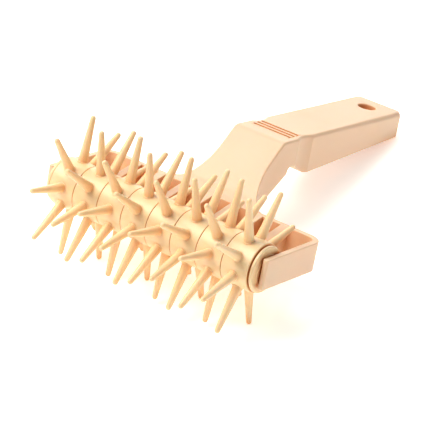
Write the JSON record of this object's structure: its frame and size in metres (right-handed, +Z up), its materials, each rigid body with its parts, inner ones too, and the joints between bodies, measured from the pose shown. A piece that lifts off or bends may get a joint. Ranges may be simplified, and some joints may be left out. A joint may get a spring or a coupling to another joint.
{
  "type": "roller docker",
  "caption": "Hand-held docker for pricking dough: a row of spiked rings turns on an axle in a yoke with fingers between the spikes and a cranked grip.",
  "frame": {"origin": "on the table, below the middle of the tool's box, as the tool lies on its lowest spikes and on the lower edge of the grip's end", "axes": "+X along the axle to the tool's right-hand side, +Y from the roller towards the end of the grip, +Z up from the table"},
  "size_m": [0.124, 0.2132, 0.0676],
  "materials": {
    "frame_plastic": "cream polypropylene, fine satin moulded skin",
    "ring_plastic": "cream polypropylene, smooth moulded skin",
    "disc_plastic": "cream polypropylene, smooth moulded skin",
    "axle_plastic": "natural acetal, smooth"
  },
  "bodies": {
    "frame": {"frame": "frame_plastic"},
    "roller": {"axle": "axle_plastic", "end_disc_left": "disc_plastic", "end_disc_right": "disc_plastic", "spiked_ring_1": "ring_plastic", "spiked_ring_2": "ring_plastic", "spiked_ring_3": "ring_plastic", "spiked_ring_4": "ring_plastic", "spiked_ring_5": "ring_plastic", "spiked_ring_6": "ring_plastic", "spiked_ring_7": "ring_plastic", "spiked_ring_8": "ring_plastic"}
  },
  "joints": [
    {"name": "roller_spin", "type": "hinge", "parent": "frame", "child": "roller", "pos_m": [0, -0.07283, 0.0338], "axis": [1, 0, 0], "continuous": true}
  ]
}
